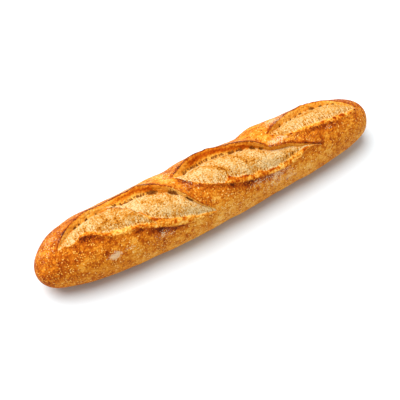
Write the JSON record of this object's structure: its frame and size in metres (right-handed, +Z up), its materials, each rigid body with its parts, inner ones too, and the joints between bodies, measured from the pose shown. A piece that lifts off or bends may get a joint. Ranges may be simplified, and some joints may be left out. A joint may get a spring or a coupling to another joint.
{
  "type": "baguette",
  "caption": "Scored baguette: a golden, crusty white loaf lying on its flat base, with slanting cuts opened along the top.",
  "frame": {"origin": "under the middle of the loaf, on the surface that it lies on", "axes": "+X along the loaf towards its far end, +Y across it towards the side that the ears stand on, +Z up"},
  "size_m": [0.4, 0.0798, 0.0675],
  "materials": {
    "baked_crust": "baked bread crust, golden brown, dull to faintly glossy"
  },
  "bodies": {
    "root": {"loaf": "baked_crust"}
  },
  "joints": []
}
